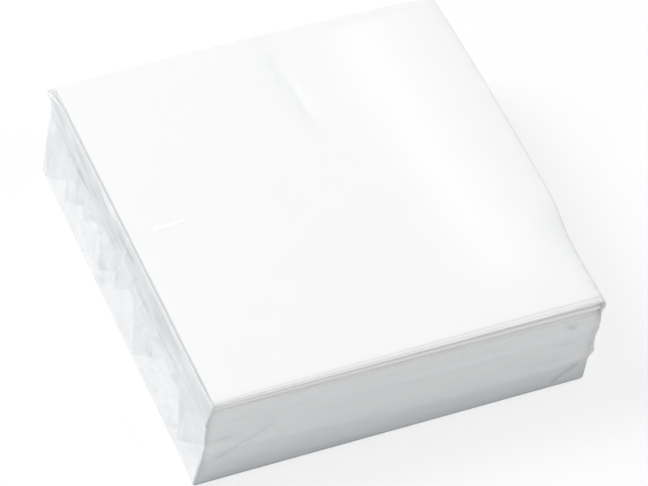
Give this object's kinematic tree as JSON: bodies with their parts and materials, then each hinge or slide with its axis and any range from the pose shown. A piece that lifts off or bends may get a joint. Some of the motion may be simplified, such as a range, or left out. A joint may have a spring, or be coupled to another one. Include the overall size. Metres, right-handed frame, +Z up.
{
  "type": "pack of paper napkins",
  "caption": "Square block of white paper napkins, each folded twice into a quarter, wrapped in a clear film sleeve that is folded and sealed shut at both ends.",
  "frame": {"origin": "middle of the pack's underside, where it rests on a table", "axes": "+X along the front to the right, +Y to the back, +Z up through the stack"},
  "size_m": [0.1698, 0.1671, 0.0501],
  "materials": {
    "tissue": "soft matt white tissue",
    "film": "thin clear gloss film"
  },
  "bodies": {
    "root": {"film_wrap": "film", "napkin_01": "tissue", "napkin_02": "tissue", "napkin_03": "tissue", "napkin_04": "tissue", "napkin_05": "tissue", "napkin_06": "tissue", "napkin_07": "tissue", "napkin_08": "tissue", "napkin_09": "tissue", "napkin_10": "tissue", "napkin_11": "tissue", "napkin_12": "tissue", "napkin_13": "tissue", "napkin_14": "tissue", "napkin_15": "tissue", "napkin_16": "tissue", "napkin_17": "tissue", "napkin_18": "tissue", "napkin_19": "tissue", "napkin_20": "tissue", "napkin_21": "tissue", "napkin_22": "tissue", "napkin_23": "tissue", "napkin_24": "tissue", "napkin_25": "tissue", "napkin_26": "tissue", "napkin_27": "tissue", "napkin_28": "tissue", "napkin_29": "tissue", "napkin_30": "tissue", "napkin_31": "tissue", "napkin_32": "tissue", "napkin_33": "tissue", "napkin_34": "tissue", "napkin_35": "tissue", "napkin_36": "tissue", "napkin_37": "tissue", "napkin_38": "tissue", "napkin_39": "tissue", "napkin_40": "tissue", "napkin_41": "tissue", "napkin_42": "tissue", "napkin_43": "tissue", "napkin_44": "tissue", "napkin_45": "tissue", "napkin_46": "tissue", "napkin_47": "tissue", "napkin_48": "tissue", "napkin_49": "tissue", "napkin_50": "tissue"}
  },
  "joints": []
}
